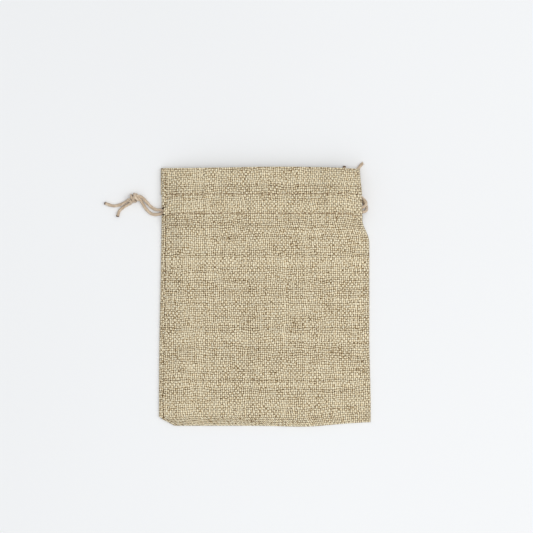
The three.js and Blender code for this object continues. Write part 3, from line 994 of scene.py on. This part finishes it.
def facing_flap(side, half):
    """The last of the facing, below the lower stitching."""
    y = sheet_rows(CASING_LOW, FACING_END, 0.5)
    one = np.ones(len(y))
    return grid(side, half, y, one, 2 * FOLD * one, INSIDE_LENGTH - y, FACING_INSET * one)


def panel(side, half):
    """One half of a panel: the outer cloth from the bottom to the mouth, and its facing inside."""
    name = ("front" if side > 0 else "back") + "_" + half
    y, share, depth, length, bands = outer_rows()
    points, flats, crease_shade = grid(side, half, y, share, depth, length)
    normals = surface_normals(points) * side
    inner = {"body": facing_flap(side, half), "casing": casing_facing(side, half)}
    made = []
    for band, rows in bands.items():
        shells = [turned(shell(points[rows], normals[rows], flats[rows], crease_shade[rows]), side)]
        if band in inner:
            p, f, dark = inner[band]
            shells.append(turned(shell(p, surface_normals(p) * side, f, dark), side))
        made.append(add_cloth(f"{name}_{band}", shells, side))
    return made


def turned(piece, side):
    """The back panel's grids wind the other way."""
    verts, quads, corner, uv, dark = piece
    if side > 0:
        return piece
    return verts, quads[:, ::-1], corner.reshape(-1, 4, 3)[:, ::-1].reshape(-1, 3), uv, dark


for side_of, node_name in ((1, "front_panel"), (-1, "back_panel")):
    for half_of in ("left", "right"):
        for piece in panel(side_of, half_of):
            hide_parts(node_name)


# ---------------------------------------------------------------- stitches and seams

STITCH_PITCH = 2.9
STITCH_LENGTH = 2.45
THREAD_RADIUS = 0.2
STITCH_DIP = 0.42
INNER_STITCH_SHIFT = 0.8
ROW_STOPS_SHORT = {"left": 3.9, "right": 2.6}


def stitch_line(side, y, x, inner):
    """The line of one stitch that lies on the cloth and dips into it at both ends."""
    share = np.linspace(-0.5, 0.5, 7)
    xs = x + share * STITCH_LENGTH
    top = front_level(xs, y) + front_relief(xs, y) if side > 0 else lift(xs, y) + back_relief(xs, y)
    sink = STITCH_DIP * (np.abs(share) * 2) ** 4
    if inner:
        z = top - side * (2 * FOLD + 0.06 - sink)
    else:
        z = top + side * (0.10 - sink)
    return np.stack([xs, y + shift_up(xs, y), z], 1)


def add_stitches(side, y, node):
    face = "front" if side > 0 else "back"
    where = "upper" if y > RIGHT_CORD_Y else "lower"
    for half in ("left", "right"):
        way = -1 if half == "left" else 1
        edge = -float(left_edge(y)) if half == "left" else float(right_edge(y))
        limit = edge - ROW_STOPS_SHORT[half]
        parts = []
        for k in range(int((limit - 1.3) / STITCH_PITCH) + 1):
            x = way * (0.5 + k) * STITCH_PITCH
            for inner in (False, True):
                line = stitch_line(side, y, x + (INNER_STITCH_SHIFT if inner else 0), inner)
                parts.append(tube(line, np.full(len(line), THREAD_RADIUS), 6))
        points, faces, uv = join(parts)
        row = make_object(f"{face}_{where}_stitches_{half}", points, faces, uv, {}, THREAD)
        gather(row)
        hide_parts(node)


add_stitches(1, CASING_HIGH, "front_upper_stitching")
add_stitches(1, CASING_LOW, "front_lower_stitching")
add_stitches(-1, CASING_HIGH, "back_upper_stitching")
add_stitches(-1, CASING_LOW, "back_lower_stitching")


ALLOWANCE = np.array([1.4, 2.2, 3.0, 3.8, 4.4])
OVERLOCK_PITCH = 1.5
OVERLOCK_RADIUS = 0.14


def seam_points(heights, way):
    """Middle of a seam allowance: two raw edges together inside the pouch, 3 mm wide. way is -1 at left."""
    rows = []
    for y in heights:
        edge = float(left_edge(y)) if way < 0 else float(right_edge(y))
        xs = edge - way * ALLOWANCE
        high = lift(xs, y) + edge_height(y) / 2 + 0.1 * np.sin(y * 1.7 + xs)
        rows.append(np.stack([xs, y + shift_up(xs, y), high], 1))
    return np.array(rows)


def overlock(rows, pitch):
    """Thread that runs over a raw edge in a zigzag."""
    inner, outer = rows[:, -2], rows[:, -1]
    along = length_along(outer)
    line = []
    for k in range(int(along[-1] / pitch)):
        for share, source in ((0.0, inner), (0.5, outer)):
            at = (k + share) * pitch
            line.append([np.interp(at, along, source[:, c]) for c in range(3)])
    return np.array(line) + (0, 0, 0.28)


def add_strip(name, rows, flats, node):
    """The cloth of a seam allowance."""
    normals = surface_normals(rows)
    # No painted crease shade on a seam allowance
    no_crease = np.zeros(rows.shape[:2])
    verts, quads, corner, uv, dark = shell(rows + normals * CLOTH / 2, normals, flats, no_crease)
    strip = make_object(f"{name}_allowance", verts, quads.tolist(), uv, {"seam": dark}, LINEN, corner)
    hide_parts(node)
    return strip


def add_edging(name, rows):
    zigzag = overlock(rows, OVERLOCK_PITCH)
    points, faces, uv = tube(zigzag, np.full(len(zigzag), OVERLOCK_RADIUS), 5)
    edging = make_object(f"{name}_overlock", points, faces, uv, {}, OVERLOCK)
    return edging


def add_seam(name, y_from, y_to, way):
    rows = seam_points(sheet_rows(y_from, y_to, 1.2), way)
    facing_up = rows[:, ::-1] if way > 0 else rows
    flats = np.stack([facing_up[..., 0] + 900, facing_up[..., 1]], -1)
    gather(add_strip(name, facing_up, flats, name))
    gather(add_edging(name, rows))


def add_bottom_seam():
    """The allowance along the bottom, inside."""
    xs = np.linspace(-44, 48.5, 78)
    rows = []
    for up in ALLOWANCE:
        y = -HALF_LENGTH + up
        height = EDGE_HEIGHT / 2 + 0.1 * np.sin(xs * 1.3 + up)
        rows.append(np.stack([xs, y + shift_up(xs, y), height], 1))
    rows = np.array(rows)
    flats = np.stack([rows[..., 0] + 1200, rows[..., 1]], -1)
    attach(add_strip("bottom_seam", rows, flats, "bottom_seam"), "pouch")
    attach(add_edging("bottom_seam", rows.transpose(1, 0, 2)), "pouch")


add_seam("left_side_seam", -57.5, 39.8, -1)
add_seam("right_side_seam", -59.0, 39.8, 1)
add_seam("left_header_seam", 50.8, 62.0, -1)
add_seam("right_header_seam", 50.8, 62.0, 1)
add_bottom_seam()


# ---------------------------------------------------------------- table and light


TABLE_HALF = 2200.0
TABLE_LEVEL = -0.05


def add_table():
    corners = [(0, 0), (1, 0), (1, 1), (0, 1)]
    points = [((2 * u - 1) * TABLE_HALF, (2 * v - 1) * TABLE_HALF, TABLE_LEVEL) for u, v in corners]
    make_object("table", points, [(0, 1, 2, 3)], corners, {}, paper("table"))


add_table()
add_world(0.52, (0.975, 0.985, 1.0))
add_light("overhead", (0.05, 0.0, 1.75), (0.0, 0.0, 0.0), 0.9, 7.5, (0.98, 0.99, 1.0))
add_light("softbox", (0.8, 0.02, 1.15), (0.0, 0.0, 0.0), 1.1, 5.6, (1.0, 0.995, 0.98))
add_light("fill", (-0.3, -0.8, 1.2), (0.0, 0.0, 0.0), 1.2, 1.2, (0.97, 0.985, 1.0))
bpy.context.scene.view_settings.view_transform = "Standard"
bpy.context.scene.view_settings.look = "None"
